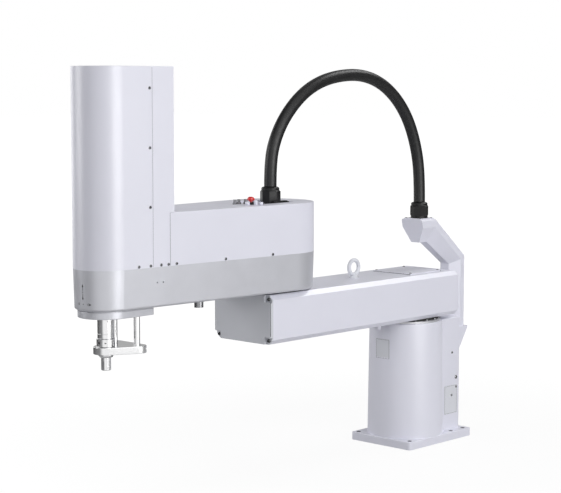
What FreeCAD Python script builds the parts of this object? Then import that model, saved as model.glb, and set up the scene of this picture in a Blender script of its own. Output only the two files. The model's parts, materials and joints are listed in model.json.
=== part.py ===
import FreeCAD, Part
import math
import os
import Sketcher

# Four-axis horizontal arm robot: base with cable duct, two arms, and a vertical screw spline shaft.
# Frame: origin on the first axis at the underside of the base plate, X forward, Y left, Z up.

Vector = FreeCAD.Vector
doc = FreeCAD.newDocument("scara_robot")
sheet = doc.addObject("Spreadsheet::Sheet", "Sizes")


class Size:
    """A length that knows its number and the sheet expression that gives it."""

    def __init__(self, value, text):
        self.value = float(value)
        self.text = text

    def __add__(self, other):
        other = size(other)
        return Size(self.value + other.value, "(%s + %s)" % (self.text, other.text))

    def __sub__(self, other):
        other = size(other)
        return Size(self.value - other.value, "(%s - %s)" % (self.text, other.text))

    def __mul__(self, other):
        other = size(other)
        return Size(self.value * other.value, "(%s * %s)" % (self.text, other.text))

    def __truediv__(self, other):
        other = size(other)
        return Size(self.value / other.value, "(%s / %s)" % (self.text, other.text))

    def __radd__(self, other):
        return size(other) + self

    def __rsub__(self, other):
        return size(other) - self

    def __rmul__(self, other):
        return size(other) * self

    def __neg__(self):
        return Size(-self.value, "(0 - %s)" % self.text)


def size(x):
    return x if isinstance(x, Size) else Size(x, "%g" % x)


rows = []


def cell(alias, value):
    """One named size in the sheet, in millimetres or degrees."""
    rows.append(alias)
    row = len(rows)
    sheet.set("A%d" % row, alias)
    sheet.set("B%d" % row, "%g" % value)
    sheet.setAlias("B%d" % row, alias)
    return Size(value, "Sizes." + alias)


# Reach and heights
arm_length = cell("arm_length", 600)
arm1_z = cell("arm1_underside_height", 385.6)
gap = cell("running_gap", 0.6)

# Base casting
plate_front = cell("plate_front_reach", 119.5)
plate_rear = cell("plate_rear_reach", 182.5)
plate_half = cell("plate_half_width", 116)
plate_thick = cell("plate_thickness", 24)
plate_corner = cell("plate_corner_radius", 9)
column_foot = cell("column_foot_radius", 115.5)
column_head = cell("column_head_radius", 111)
column_top = cell("column_top_height", 372)
column_bore = cell("column_bore_radius", 98)
web_bore = cell("column_web_bore_radius", 80)
web_thick = cell("column_web_thickness", 14)
housing_half = cell("housing_half_width", 82)
housing_rear = cell("housing_rear_reach", 166)
housing_wall = cell("housing_wall", 12)
bolt_hole = cell("base_bolt_hole", 14)
bolt_front = cell("base_bolt_front_reach", 102)
bolt_mid = cell("base_bolt_middle_reach", 100)
bolt_rear = cell("base_bolt_rear_reach", 160)
bolt_half = cell("base_bolt_half_spacing", 100)

# Cable duct behind the base
shelf_half = cell("duct_shelf_half_width", 46)
shelf_rear = cell("duct_shelf_rear_reach", 252)
shelf_top = cell("duct_shelf_height", 331)
shelf_lip = cell("duct_shelf_lip", 5)
shelf_foot = cell("duct_shelf_foot_height", 195)
duct_half = cell("duct_half_width", 40)
duct_inner_half = cell("duct_inner_half_width", 15)
duct_back = cell("duct_back_reach", 244)
duct_band = cell("duct_band_reach", 221)
duct_inner = cell("duct_inner_reach", 192.5)
duct_top = cell("duct_top_height", 677.4)
duct_wall = cell("duct_wall", 4)
lid_thick = cell("duct_lid_thickness", 2.6)
lid_half = cell("duct_lid_half_width", 33.5)
base_gland_x = cell("base_gland_reach_back", 61)
gland_radius = cell("gland_radius", 28.5)
gland_height = cell("gland_height", 48)
knee_back = cell("duct_knee_height_back", 554)
knee_band = cell("duct_knee_height_band", 542.4)
knee_inner = cell("duct_knee_height_inner", 528)
crest_back = cell("duct_crest_reach_back", 95)
nose_back = cell("duct_nose_reach_back", 24)
nose_depth = cell("duct_nose_depth", 72)
hose_dia = cell("conduit_diameter", 35)

# First arm
arm1_half = cell("arm1_half_width", 106.6)
arm1_height = cell("arm1_height", 134.4)
arm1_front = cell("arm1_front_reach", 112)
arm1_rear = cell("arm1_rear_reach", 123)
arm1_chamfer = cell("arm1_chamfer", 12.5)
arm1_wall = cell("arm1_wall", 10.5)
cap_thick = cell("end_cap_thickness", 12)
cover_half = cell("joint_cover_half_size", 73)
cover_thick = cell("joint_cover_thickness", 3)

# Second arm, stacked on the first one
arm_gap = cell("gap_between_the_arms", 6.2)
arm2_z = arm1_z + arm1_height + arm_gap
arm2_height = cell("arm2_casting_height", 102.8)
cover_height = cell("arm2_cover_height", 136)
arm2_top = arm2_z + arm2_height + cover_height
elbow_radius = cell("elbow_end_radius", 120.7)
nose_radius = cell("nose_radius", 80.3)
arm2_wall = cell("arm2_casting_wall", 9)
arm2_floor = cell("arm2_casting_floor", 12)
arm2_draft = cell("arm2_casting_draft_angle", 1.6)
skin = cell("cover_wall", 3)
tray_rear = cell("tray_rear_edge", 30)
tray_front = cell("tray_front_edge", 97)
tray_half = cell("tray_half_width", 62)
tray_depth = cell("tray_depth", 8)
tower_over_arm = cell("tower_rise_over_the_arm_cover", 367)
tower_top = arm2_top + tower_over_arm
tower_seam = cell("tower_seam_behind_tool_axis", 85)
tower_rear = cell("tower_rear_behind_tool_axis", 154)
cover_start = cell("arm_cover_start_behind_tool_axis", 140)
flange_radius = cell("bottom_flange_radius", 70)
flange_rear = cell("bottom_flange_rear_reach", 104)
flange_thick = cell("bottom_flange_thickness", 20)
flange_corner = cell("bottom_flange_corner", 8)
flange_groove = cell("bottom_flange_shadow_groove", 3)

# Vertical axis
stroke = cell("vertical_stroke", 420)
quill_radius = cell("spline_shaft_radius", 21)
shoulder_drop = cell("spline_shoulder_below_arm2", 75.7)
quill_bottom = arm2_z - shoulder_drop
shaft_radius = cell("tool_end_radius", 12.5)
shaft_bore = cell("tool_bore_radius", 6)
tool_drop = cell("tool_end_below_arm2", 157.2)
shaft_end = arm2_z - tool_drop
shaft_headroom = cell("spline_shaft_headroom", 28)
rod_radius = cell("guide_rod_radius", 8)
rod_back = cell("guide_rod_behind_tool_axis", 66)
rod_half = cell("guide_rod_half_spacing", 43.4)
rod_headroom = cell("guide_rod_headroom", 38)
guide_drop = cell("guide_plate_underside_below_arm2", 115.2)
guide_bottom = arm2_z - guide_drop
guide_thick = cell("guide_plate_thickness", 18.5)
guide_nose = cell("guide_plate_nose_radius", 32)
guide_ear = cell("guide_plate_ear_radius", 24)
collar_radius = cell("upper_collar_radius", 23.5)
lower_collar_radius = cell("lower_collar_radius", 19.5)
lower_collar_height = cell("lower_collar_height", 9)
slide_gap = cell("sliding_gap", 0.6)
bearing_radius = cell("guide_bearing_radius", 18)
clamp_length = cell("tool_clamp_length", 31)
button_x = cell("brake_button_reach", 128)
button_y = cell("brake_button_side", 50)
stop_reach = cell("joint1_stop_reach", 134)
stop_drop = cell("joint1_stop_drop", 30)


def body(name, x=0, y=0, z=0):
    """One piece of the robot, modelled about its own datum."""
    made = doc.addObject("PartDesign::Body", name)
    made.Label = name
    x, y, z = size(x), size(y), size(z)
    made.Placement = FreeCAD.Placement(Vector(x.value, y.value, z.value), FreeCAD.Rotation())
    for axis, at in (("x", x), ("y", y), ("z", z)):
        if "Sizes." in at.text:
            made.setExpression(".Placement.Base." + axis, at.text)
    pieces.append(made)
    return made


pieces = []


def sketch(owner, plane, at=0):
    """A sketch on one of the body's own planes, at a distance along the plane's normal."""
    at = size(at)
    name = "%s_sketch_%d" % (owner.Name, len(owner.Group))
    made = owner.newObject("Sketcher::SketchObject", name)
    support = [f for f in owner.Origin.OriginFeatures if f.Role == plane + "_Plane"][0]
    made.AttachmentSupport = [(support, "")]
    made.MapMode = "FlatFace"
    made.AttachmentOffset = FreeCAD.Placement(Vector(0, 0, at.value), FreeCAD.Rotation())
    if "Sizes." in at.text:
        made.setExpression(".AttachmentOffset.Base.z", at.text)
    return made


def bind(sk, index, value):
    if "Sizes." in value.text:
        sk.setExpression("Constraints[%d]" % index, value.text)


def fix_point(sk, geo, pos, x, y):
    """Hold a point at its distances from the sketch origin."""
    for kind, axis, value in (("DistanceX", -2, size(x)), ("DistanceY", -1, size(y))):
        if abs(value.value) < 1e-9:
            sk.addConstraint(Sketcher.Constraint("PointOnObject", geo, pos, axis))
        elif value.value > 0:
            bind(sk, sk.addConstraint(Sketcher.Constraint(kind, -1, 1, geo, pos, value.value)), value)
        else:
            back = -value
            bind(sk, sk.addConstraint(Sketcher.Constraint(kind, geo, pos, -1, 1, back.value)), back)


def circle(sk, x, y, radius):
    x, y, radius = size(x), size(y), size(radius)
    shape = Part.Circle(Vector(x.value, y.value, 0), Vector(0, 0, 1), radius.value)
    geo = sk.addGeometry(shape, False)
    fix_point(sk, geo, 3, x, y)
    bind(sk, sk.addConstraint(Sketcher.Constraint("Radius", geo, radius.value)), radius)


def polygon(sk, points):
    """A closed outline of straight lines through the points."""
    points = [(size(x), size(y)) for x, y in points]
    count = len(points)
    geos = []
    for i in range(count):
        a, b = points[i], points[(i + 1) % count]
        line = Part.LineSegment(Vector(a[0].value, a[1].value, 0), Vector(b[0].value, b[1].value, 0))
        geos.append(sk.addGeometry(line, False))
    for i in range(count):
        sk.addConstraint(Sketcher.Constraint("Coincident", geos[i], 2, geos[(i + 1) % count], 1))
    for i in range(count):
        fix_point(sk, geos[i], 1, *points[i])


def rectangle(sk, x0, y0, x1, y1):
    polygon(sk, [(x0, y0), (x1, y0), (x1, y1), (x0, y1)])


def hull(sk, circles):
    """The outline stretched round circles given counterclockwise, as arcs and tangent lines."""
    circles = [(size(x), size(y), size(r)) for x, y, r in circles]
    count = len(circles)
    normals = []
    for i in range(count):
        (x0, y0, r0), (x1, y1, r1) = circles[i], circles[(i + 1) % count]
        dx, dy = x1.value - x0.value, y1.value - y0.value
        length = math.hypot(dx, dy)
        dx, dy = dx / length, dy / length
        along = (r0.value - r1.value) / length
        across = math.sqrt(1 - along * along)
        normals.append((dx * along + dy * across, dy * along - dx * across))
    arcs = []
    lines = []
    for i in range(count):
        x, y, r = circles[i]
        n0, n1 = normals[i - 1], normals[i]
        a0, a1 = math.atan2(n0[1], n0[0]), math.atan2(n1[1], n1[0])
        base = Part.Circle(Vector(x.value, y.value, 0), Vector(0, 0, 1), r.value)
        if a1 < a0:
            a1 += 2 * math.pi
        arcs.append(sk.addGeometry(Part.ArcOfCircle(base, a0, a1), False))
    for i in range(count):
        (x0, y0, r0), (x1, y1, r1) = circles[i], circles[(i + 1) % count]
        n = normals[i]
        start = Vector(x0.value + r0.value * n[0], y0.value + r0.value * n[1], 0)
        end = Vector(x1.value + r1.value * n[0], y1.value + r1.value * n[1], 0)
        lines.append(sk.addGeometry(Part.LineSegment(start, end), False))
    for i in range(count):
        sk.addConstraint(Sketcher.Constraint("Tangent", arcs[i], 2, lines[i], 1))
        sk.addConstraint(Sketcher.Constraint("Tangent", lines[i], 2, arcs[(i + 1) % count], 1))
    for i in range(count):
        x, y, r = circles[i]
        fix_point(sk, arcs[i], 3, x, y)
        bind(sk, sk.addConstraint(Sketcher.Constraint("Radius", arcs[i], r.value)), r)


def rounded(sk, x0, y0, x1, y1, radius):
    """A rectangle with rounded corners."""
    x0, y0, x1, y1, radius = size(x0), size(y0), size(x1), size(y1), size(radius)
    corners = [(x0 + radius, y0 + radius), (x1 - radius, y0 + radius)]
    corners += [(x1 - radius, y1 - radius), (x0 + radius, y1 - radius)]
    hull(sk, [(x, y, radius) for x, y in corners])


def volume(owner):
    return owner.Shape.Volume if owner.Tip is not None else 0.0


def pad(owner, sk, length, backwards=False, taper=None):
    before = volume(owner)
    made = owner.newObject("PartDesign::Pad", sk.Name.replace("sketch", "pad"))
    made.Profile = sk
    length = size(length)
    made.Length = length.value
    if "Sizes." in length.text:
        made.setExpression("Length", length.text)
    made.Reversed = backwards
    if taper is not None:
        made.TaperAngle = taper.value
        made.setExpression("TaperAngle", taper.text)
    doc.recompute()
    if volume(owner) <= before + 1e-3:
        raise RuntimeError(made.Name + " adds nothing")
    return made


def pocket(owner, sk, length, backwards=False):
    """A cut along the sketch's normal (backwards=False) or against it."""
    before = volume(owner)
    made = owner.newObject("PartDesign::Pocket", sk.Name.replace("sketch", "pocket"))
    made.Profile = sk
    length = size(length)
    made.Length = length.value
    if "Sizes." in length.text:
        made.setExpression("Length", length.text)
    made.Reversed = not backwards
    doc.recompute()
    if volume(owner) >= before - 1e-3:
        raise RuntimeError(made.Name + " cuts nothing")
    return made


def revolve(owner, sk, groove=False):
    kind = "PartDesign::Groove" if groove else "PartDesign::Revolution"
    before = volume(owner)
    made = owner.newObject(kind, sk.Name.replace("sketch", "turned"))
    made.Profile = sk
    made.ReferenceAxis = (sk, ["V_Axis"])
    made.Angle = 360
    doc.recompute()
    if abs(volume(owner) - before) < 1e-3:
        raise RuntimeError(made.Name + " changes nothing")
    return made


def edges(shape, test):
    """The names of the edges whose two ends and middle pass the test."""
    found = []
    for i, edge in enumerate(shape.Edges):
        middle = edge.valueAt((edge.FirstParameter + edge.LastParameter) / 2)
        points = [v.Point for v in edge.Vertexes] + [middle]
        if all(test(p) for p in points):
            found.append("Edge%d" % (i + 1))
    return found


def soften(owner, radius, test, kind="Fillet"):
    """Round or bevel the chosen edges of the body's last feature."""
    base = owner.Tip
    names = edges(base.Shape, test)
    if not names:
        raise RuntimeError(owner.Label + " has no such edge")
    made = owner.newObject("PartDesign::" + kind, "%s_%s_%d" % (owner.Name, kind, len(owner.Group)))
    made.Base = (base, names)
    if kind == "Fillet":
        made.Radius = radius
    else:
        made.Size = radius
    doc.recompute()
    if "Invalid" in made.State or made.Shape.isNull() or not made.Shape.isValid():
        raise RuntimeError(made.Name + " failed on %d edges" % len(names))
    return made


def near(a, b, room=0.05):
    return abs(a - b) < room


def feature(name, shape, x=0, y=0, z=0):
    """A piece made with the Part functions, placed after its shape is set."""
    made = doc.addObject("Part::Feature", name)
    made.Label = name
    made.Shape = shape
    x, y, z = size(x), size(y), size(z)
    made.Placement = FreeCAD.Placement(Vector(x.value, y.value, z.value), FreeCAD.Rotation())
    for axis, at in (("x", x), ("y", y), ("z", z)):
        if "Sizes." in at.text:
            made.setExpression(".Placement.Base." + axis, at.text)
    pieces.append(made)
    return made


def button_head(at, direction, radius, height):
    """A low domed screw head with a hexagon socket, seated at a point and facing a direction."""
    profile = [Vector(0, 0, 0), Vector(radius, 0, 0), Vector(radius, 0, 0.35 * height)]
    profile += [Vector(0.72 * radius, 0, height), Vector(0, 0, height), Vector(0, 0, 0)]
    head = Part.Face(Part.makePolygon(profile)).revolve(Vector(0, 0, 0), Vector(0, 0, 1), 360)
    across = 0.5 * radius
    corners = []
    for k in range(7):
        angle = math.radians(60 * k)
        corners.append(Vector(across * math.cos(angle), across * math.sin(angle), 0.45 * height))
    socket = Part.Face(Part.makePolygon(corners)).extrude(Vector(0, 0, height))
    head = head.cut(socket)
    turn = FreeCAD.Rotation(Vector(0, 0, 1), direction)
    head.Placement = FreeCAD.Placement(at, turn)
    return head


# Base casting: bolted plate, drafted round column and the cable housing behind it
base = body("base_casting")
sk = sketch(base, "XY")
rounded(sk, -plate_rear, -plate_half, plate_front, plate_half, plate_corner)
pad(base, sk, plate_thick)
soften(base, 2, lambda p: near(p.z, plate_thick.value) and (abs(p.y) > 90 or p.x > 90 or p.x < -150))
sk = sketch(base, "XY", plate_thick)
rounded(sk, -housing_rear, -housing_half, -30, housing_half, 6)
pad(base, sk, column_top - plate_thick)
sk = sketch(base, "XZ")
polygon(sk, [(0, plate_thick - 4), (column_foot, plate_thick - 4), (column_foot, plate_thick),
             (column_head, column_top), (0, column_top)])
revolve(base, sk)
sk = sketch(base, "XY")
circle(sk, 0, 0, column_bore)
pocket(base, sk, column_top - web_thick)
sk = sketch(base, "XY")
rectangle(sk, housing_wall - housing_rear, housing_wall - housing_half, -60, housing_half - housing_wall)
pocket(base, sk, column_top - web_thick)
sk = sketch(base, "XY")
circle(sk, 0, 0, web_bore)
pocket(base, sk, column_top)
sk = sketch(base, "XY")
for x in (bolt_front, -bolt_mid, -bolt_rear):
    for y in (bolt_half, -bolt_half):
        circle(sk, x, y, bolt_hole / 2)
pocket(base, sk, plate_thick)
sk = sketch(base, "YZ", -housing_rear)
rectangle(sk, -50, 70, 50, 170)
pocket(base, sk, housing_wall)
soften(base, 2.5, lambda p: near(p.z, column_top.value) and (math.hypot(p.x, p.y) > 100 or abs(p.y) > 80))

# Sheet cover that closes the casting's underside, flush with the mounting face
under = body("base_bottom_cover")
sk = sketch(under, "XY")
circle(sk, 0, 0, column_bore)
pad(under, sk, 3)
sk = sketch(under, "XY")
rectangle(sk, housing_wall - housing_rear, housing_wall - housing_half, -60, housing_half - housing_wall)
pad(under, sk, 3)

# Shelf that carries the duct out behind the housing
shelf = body("duct_shelf")
sk = sketch(shelf, "XZ", -shelf_half)
polygon(sk, [(-housing_rear, shelf_foot), (-housing_rear, shelf_top), (-shelf_rear, shelf_top),
             (-shelf_rear, shelf_top - shelf_lip)])
pad(shelf, sk, shelf_half * 2)
sk = sketch(shelf, "XZ", 6 - shelf_half)
polygon(sk, [(-housing_rear, shelf_foot + 16), (-housing_rear, shelf_top - 6), (-236, shelf_top - 6)])
pocket(shelf, sk, shelf_half * 2 - 12)
sk = sketch(shelf, "XY", shelf_top)
rectangle(sk, -236, -12, -200, 12)
pocket(shelf, sk, 12, backwards=True)


def duct_section(back, band, inner, half, inner_half):
    """Six-sided cross-section of the duct: square band behind, narrowing to the inner face."""
    outline = [(back, half), (band, half), (inner, inner_half)]
    outline += [(inner, -inner_half), (band, -half), (back, -half)]
    points = [Vector(at[0], y, at[1]) for at, y in outline]
    return Part.makePolygon(points + points[:1])


def between(a, b, share):
    return (a[0] + (b[0] - a[0]) * share, a[1] + (b[1] - a[1]) * share)


def duct_solid(inset):
    """The duct's outer shape, or its channel when inset by the wall."""
    back, band, inner = duct_back.value, duct_band.value, duct_inner.value
    foot, top = shelf_top.value, duct_top.value
    crest, nose, drop = crest_back.value, nose_back.value, nose_depth.value
    stations = [
        ((-back, foot), (-band, foot), (-inner, foot)),
        ((-back, knee_back.value), (-band, knee_band.value), (-inner, knee_inner.value)),
    ]
    for outer, lean in ((crest, 15.5), (nose, -18)):
        ends = (-outer, top), (lean - outer, top - drop)
        stations.append((ends[0], between(*ends, 13 / 36), ends[1]))
    half, inner_half = duct_half.value - inset, duct_inner_half.value - inset
    wires = []
    for number, (a, b, c) in enumerate(stations):
        depth = math.hypot(a[0] - c[0], a[1] - c[1])
        a, c = between(a, c, inset / depth), between(c, a, inset / depth)
        if inset and number == 3:
            a, b, c = (a[0] - inset, a[1]), (b[0] - inset, b[1]), (c[0] - inset, c[1])
        if inset and number == 0:
            a, b, c = (a[0], a[1] - 1), (b[0], b[1] - 1), (c[0], c[1] - 1)
        wires.append(duct_section(a, b, c, half, inner_half))
    return Part.makeLoft(wires, True, True)


# Goose-necked duct from the shelf up to the conduit gland
duct = duct_solid(0.0)


def on_duct_back(point):
    """True on the back line of the duct's sides: the post's rear, the slope and the top."""
    x, y, z = point.x, abs(point.y), point.z
    corners = [(-duct_back.value, shelf_top.value), (-duct_back.value, knee_back.value),
               (-crest_back.value, duct_top.value), (-nose_back.value, duct_top.value)]
    on_line = any(Vector(x, 0, z).distanceToLineSegment(Vector(a, 0, b), Vector(c, 0, d)).Length < 0.05
                  for (a, b), (c, d) in zip(corners, corners[1:]))
    return near(y, duct_half.value) and on_line


crown = [e for e in duct.Edges if all(on_duct_back(v.Point) for v in e.Vertexes)
         and near(e.Vertexes[0].Point.y, e.Vertexes[-1].Point.y)]
duct = duct.makeFillet(7.0, crown)
duct = duct.cut(duct_solid(duct_wall.value))
hole = Part.makeCylinder(hose_dia.value / 2, 30, Vector(-base_gland_x.value, 0, duct_top.value - 20))
duct = duct.cut(hole)
feature("duct_post", duct)


def gland(name, x, z, turn):
    """Conduit gland: an eight-sided nut between a round foot and a bevelled lip, open for the conduit."""
    made = body(name, x, 0, z)
    inner = hose_dia / 2 - 2.5
    sk = sketch(made, "XY", 7)
    corners = [math.radians(turn + 45 * k) for k in range(8)]
    polygon(sk, [(gland_radius * math.cos(a), gland_radius * math.sin(a)) for a in corners])
    pad(made, sk, gland_height - 7)
    sk = sketch(made, "XZ")
    polygon(sk, [(gland_radius - 2.5, 7), (gland_radius + 6, 7), (gland_radius + 6, 9), (gland_radius - 1, 9)])
    revolve(made, sk, groove=True)
    sk = sketch(made, "XZ")
    polygon(sk, [(gland_radius - 0.8, gland_height - 12), (gland_radius + 6, gland_height - 12),
                 (gland_radius + 6, gland_height + 1), (gland_radius - 7, gland_height + 1),
                 (gland_radius - 7, gland_height), (gland_radius - 3.5, gland_height - 3),
                 (gland_radius - 3.5, gland_height - 9)])
    revolve(made, sk, groove=True)
    sk = sketch(made, "XY")
    circle(sk, 0, 0, gland_radius - 2.5)
    pad(made, sk, 7.5)
    sk = sketch(made, "XY")
    circle(sk, 0, 0, inner)
    pocket(made, sk, gland_height)
    return made


# Screwed lid on top of the duct, under the gland
lid = body("duct_lid", 0, 0, duct_top)
sk = sketch(lid, "XY")
rounded(sk, 3 - crest_back, -lid_half, -nose_back - 2, lid_half, 4)
pad(lid, sk, lid_thick)
sk = sketch(lid, "XY")
circle(sk, -base_gland_x, 0, hose_dia / 2)
pocket(lid, sk, lid_thick)
heads = []
for x in (9 - crest_back.value, -nose_back.value - 8):
    for y in (lid_half.value - 6, 6 - lid_half.value):
        heads.append(button_head(Vector(x, y, (duct_top + lid_thick).value), Vector(0, 0, 1), 3, 1.6))
feature("duct_lid_screws", Part.makeCompound(heads))
gland("base_gland", -base_gland_x, duct_top + lid_thick, 8)

# Rear service panel with its connectors
panel = body("service_panel", -housing_rear)
sk = sketch(panel, "YZ", -3)
rounded(sk, -60, 60, 60, 180, 5)
pad(panel, sk, 3)
power = body("power_connector", -housing_rear - 3)
sk = sketch(power, "YZ", -20)
rounded(sk, -50, 120, -5, 160, 4)
pad(power, sk, 20)
sk = sketch(power, "YZ", -20)
rounded(sk, -45, 125, -10, 155, 3)
pocket(power, sk, 12)
signal = body("signal_connector", -housing_rear - 3)
sk = sketch(signal, "YZ", -14)
rounded(sk, 5, 130, 50, 150, 4)
pad(signal, sk, 14)
sk = sketch(signal, "YZ", -14)
rounded(sk, 9, 134, 46, 146, 3)
pocket(signal, sk, 8)
air = body("air_couplings", -housing_rear - 3)
sk = sketch(air, "YZ", -10)
for y in (-36, 0, 36):
    circle(sk, y, 85, 7)
pad(air, sk, 10)
sk = sketch(air, "YZ", -16)
for y in (-36, 0, 36):
    circle(sk, y, 85, 5)
pad(air, sk, 6)

# First joint inside the column
motor = body("joint1_motor", 0, 0, 150)
sk = sketch(motor, "XY")
rounded(sk, -55, -55, 55, 55, 10)
pad(motor, sk, 150)
reducer = body("joint1_reducer", 0, 0, column_top - 72)
sk = sketch(reducer, "XZ")
polygon(sk, [(0, 0), (web_bore - 0.5, 0), (web_bore - 0.5, 72), (105, 72), (105, 78),
             (60 + gap, 78), (60 + gap, 38), (0, 38)])
revolve(reducer, sk)
heads = []
for k in range(16):
    angle = math.radians(22.5 * k + 11.25)
    at = Vector(98.5 * math.cos(angle), 98.5 * math.sin(angle), 0)
    heads.append(button_head(at, Vector(0, 0, 1), 4.5, 4.5))
feature("joint1_reducer_screws", Part.makeCompound(heads), 0, 0, column_top + 6)
seal = body("joint1_seal", 0, 0, column_top + 6)
sk = sketch(seal, "XY")
circle(sk, 0, 0, 92)
circle(sk, 0, 0, 64)
pad(seal, sk, arm1_z - column_top - 6 - gap)
# Screws on the housing sides
heads = []
for side in (1, -1):
    for x, z, radius in ((-126, 263, 4), (-147, 184, 6), (-147, 154, 4), (-125, 130, 4)):
        heads.append(button_head(Vector(x, side * housing_half.value, z), Vector(0, side, 0), radius, 2.2))
feature("housing_screws", Part.makeCompound(heads))

# First arm: a box casting with bevelled edges, open at its front end
arm1 = body("arm1_casting", 0, 0, arm1_z)
sk = sketch(arm1, "YZ", -arm1_rear)
c = arm1_chamfer
polygon(sk, [(c - arm1_half, 0), (arm1_half - c, 0), (arm1_half, c), (arm1_half, arm1_height - c),
             (arm1_half - c, arm1_height), (c - arm1_half, arm1_height),
             (-arm1_half, arm1_height - c), (-arm1_half, c)])
pad(arm1, sk, arm1_rear + arm_length + arm1_front - cap_thick)
sk = sketch(arm1, "YZ", arm1_wall - arm1_rear)
rectangle(sk, arm1_wall - arm1_half + 4, arm1_wall, arm1_half - arm1_wall - 4, arm1_height - arm1_wall)
pocket(arm1, sk, arm1_rear + arm_length + arm1_front)
sk = sketch(arm1, "XY")
circle(sk, 0, 0, 32)
pocket(arm1, sk, arm1_wall)
sk = sketch(arm1, "XY", arm1_height)
circle(sk, 0, 0, 60)
circle(sk, arm_length, 0, 82)
pocket(arm1, sk, arm1_wall, backwards=True)
soften(arm1, 4, lambda p: near(p.x, -arm1_rear.value))

cap = body("arm1_end_cap", arm_length + arm1_front - cap_thick, 0, arm1_z)
sk = sketch(cap, "YZ")
polygon(sk, [(c - arm1_half, 0), (arm1_half - c, 0), (arm1_half, c), (arm1_half, arm1_height - c),
             (arm1_half - c, arm1_height), (c - arm1_half, arm1_height),
             (-arm1_half, arm1_height - c), (-arm1_half, c)])
pad(cap, sk, cap_thick)
soften(cap, 2.5, lambda p: near(p.x, cap_thick.value))
sk = sketch(cap, "YZ", cap_thick)
for y0, y1 in ((arm1_half - 22, arm1_half + 1), (-arm1_half - 1, 22 - arm1_half)):
    rectangle(sk, y0, -1, y1, 20)
    rectangle(sk, y0, arm1_height - 20, y1, arm1_height + 1)
pocket(cap, sk, 8, backwards=True)
heads = []
for y in (-1, 1):
    for z in (10.5, arm1_height.value - 10.5):
        at = Vector(cap_thick.value - 8, y * (arm1_half.value - 11.5), z)
        heads.append(button_head(at, Vector(1, 0, 0), 5, 5))
feature("end_cap_screws", Part.makeCompound(heads), arm_length + arm1_front - cap_thick, 0, arm1_z)

cover = body("joint1_cover", -4, 0, arm1_z + arm1_height)
sk = sketch(cover, "XY")
rounded(sk, -cover_half, -cover_half, cover_half, cover_half, 4)
pad(cover, sk, cover_thick)
soften(cover, 0.8, lambda p: near(p.z, cover_thick.value))
heads = []
for x in (-66, 66):
    for y in (-66, 66):
        heads.append(button_head(Vector(x - 4, y, cover_thick.value), Vector(0, 0, 1), 4, 2.2))
feature("joint1_cover_screws", Part.makeCompound(heads), 0, 0, arm1_z + arm1_height)

# Lifting eye with its ring in the arm's plane
ring = Part.makeTorus(21, 6, Vector(0, 0, 32), Vector(0, 1, 0))
foot = Part.makeCylinder(15, 4)
neck = Part.makeCone(13, 7.5, 9, Vector(0, 0, 4))
feature("lifting_eye", ring.fuse([foot, neck]).removeSplitter(), 245, 0, arm1_z + arm1_height)

hub = body("joint1_hub", 0, 0, column_top - 32)
sk = sketch(hub, "XY")
circle(sk, 0, 0, 60)
circle(sk, 0, 0, 24)
pad(hub, sk, arm1_z - column_top + 32)
block = body("joint1_stop_block", stop_reach, 0, arm1_z)
sk = sketch(block, "XY")
rounded(sk, -7, -12, 7, 12, 2)
pad(block, sk, 9, backwards=True)
sk = sketch(block, "XY")
rounded(sk, -7, -9, 7, 9, 4)
pad(block, sk, stop_drop, backwards=True)

reducer = body("joint2_reducer", arm_length, 0, arm1_z + arm1_height - 90)
sk = sketch(reducer, "XZ")
polygon(sk, [(0, 0), (81, 0), (81, 90), (92, 90), (92, 93), (56 + gap, 93), (56 + gap, 40), (0, 40)])
revolve(reducer, sk)
seal = body("joint2_seal", arm_length, 0, arm1_z + arm1_height + 3)
sk = sketch(seal, "XY")
circle(sk, 0, 0, 88)
circle(sk, 0, 0, 62)
pad(seal, sk, arm2_z - arm1_z - arm1_height - 3 - gap)


def arm2_outline(sk, inset=0):
    """Plan outline of the second arm: elbow end and tool end joined by tangent sides."""
    hull(sk, [(0, 0, elbow_radius - inset), (arm_length, 0, nose_radius - inset)])


# Second arm: the bare metal casting, drafted outside, hollow and open at the top
arm2 = body("arm2_casting", arm_length, 0, arm2_z)
sk = sketch(arm2, "XY", arm2_height)
arm2_outline(sk)
pad(arm2, sk, arm2_height, backwards=True, taper=-arm2_draft)
soften(arm2, 6.5, lambda p: near(p.z, 0))
sk = sketch(arm2, "XY", arm2_floor)
arm2_outline(sk, arm2_wall + 3)
pocket(arm2, sk, arm2_height)
sk = sketch(arm2, "XY")
circle(sk, 0, 0, 24)
circle(sk, arm_length, 0, quill_radius + slide_gap)
for y in (rod_half, -rod_half):
    circle(sk, arm_length - rod_back, y, rod_radius + slide_gap)
pocket(arm2, sk, arm2_floor)
sk = sketch(arm2, "XZ", -nose_radius - 2)
for behind in (98, 118):
    circle(sk, arm_length - behind, 63.6, 2.2)
pocket(arm2, sk, 14, backwards=True)

cover = body("arm2_cover", arm_length, 0, arm2_z + arm2_height)
rise = cover_height
sk = sketch(cover, "XY")
arm2_outline(sk)
pad(cover, sk, rise)
soften(cover, 1.5, lambda p: near(p.z, rise.value))
sk = sketch(cover, "XY")
arm2_outline(sk, skin)
pocket(cover, sk, rise - skin)
sk = sketch(cover, "XY", rise - skin - tray_depth)
rounded(sk, -tray_rear - skin, -tray_half - skin, tray_front + skin, tray_half + skin, 8)
pad(cover, sk, skin + tray_depth - 1)
sk = sketch(cover, "XY", rise)
rounded(sk, -tray_rear, -tray_half, tray_front, tray_half, 6)
pocket(cover, sk, tray_depth, backwards=True)
sk = sketch(cover, "XY")
rectangle(sk, arm_length - cover_start, -130, arm_length + 90, 130)
pocket(cover, sk, rise + 1)


def inset_half(behind, inset):
    """Half width of the arm at a distance behind the tool axis, less an inset."""
    lean = math.asin((elbow_radius.value - nose_radius.value) / arm_length.value)
    return (nose_radius.value + behind * math.sin(lean)) / math.cos(lean) - inset


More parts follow.
